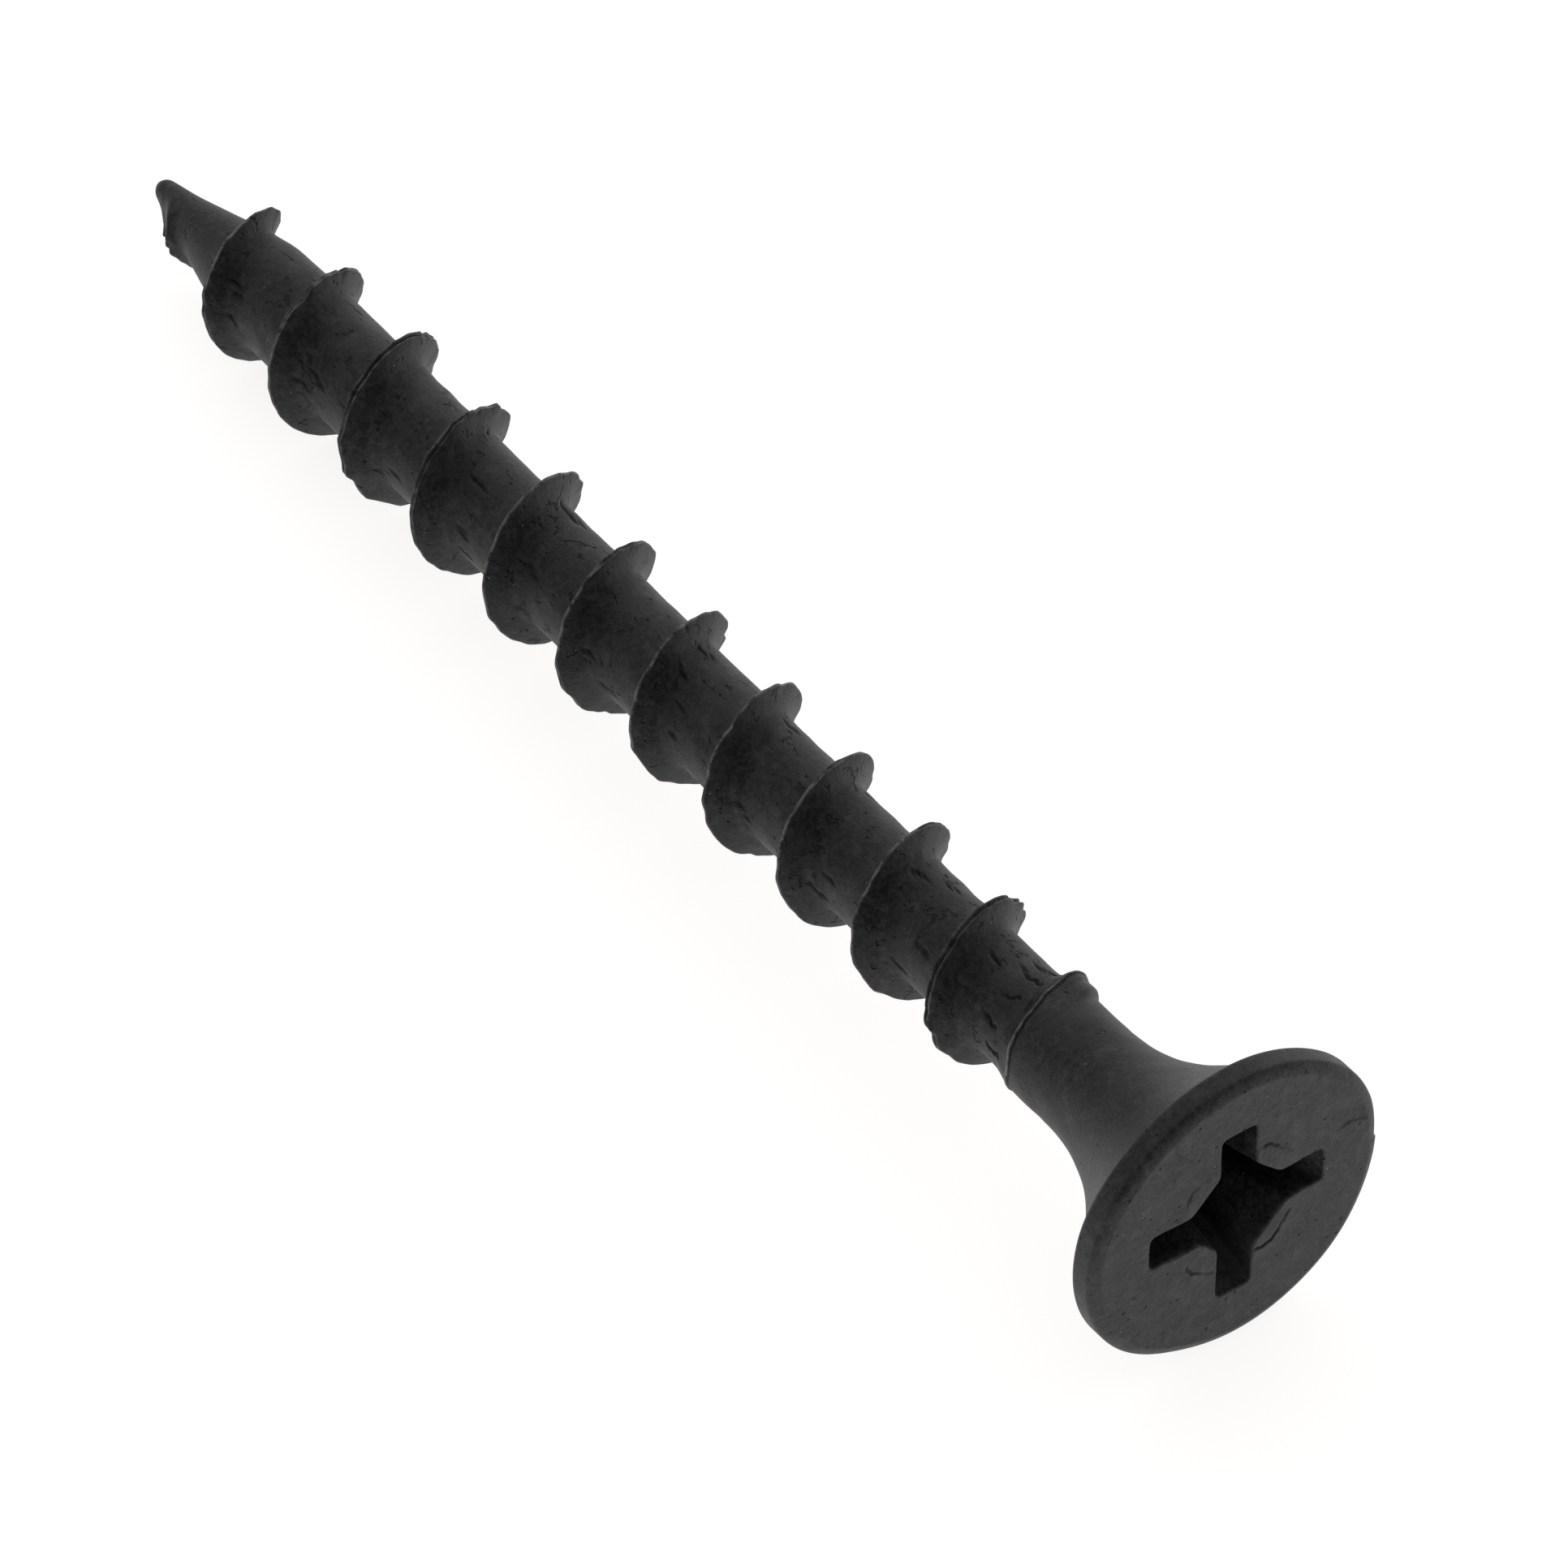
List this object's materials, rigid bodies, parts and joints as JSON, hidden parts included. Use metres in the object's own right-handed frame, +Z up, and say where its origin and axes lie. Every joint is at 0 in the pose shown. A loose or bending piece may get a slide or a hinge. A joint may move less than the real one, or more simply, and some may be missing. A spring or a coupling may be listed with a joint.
{
  "type": "wood screw",
  "caption": "Coarse-thread wood and drywall screw with a bugle head, cross recess, short plain shank and sharp gimlet point.",
  "frame": {"origin": "centre of the head's flat face, on the screw's axis", "axes": "+X along the axis from the point to the head, out of the flat face; +Z up as the screw lies; +Y to the side"},
  "size_m": [0.0413, 0.0082, 0.0082],
  "materials": {
    "black_phosphate": "matte black phosphate conversion coat on carbon steel, slightly mottled"
  },
  "bodies": {
    "root": {"screw": "black_phosphate"}
  },
  "joints": []
}
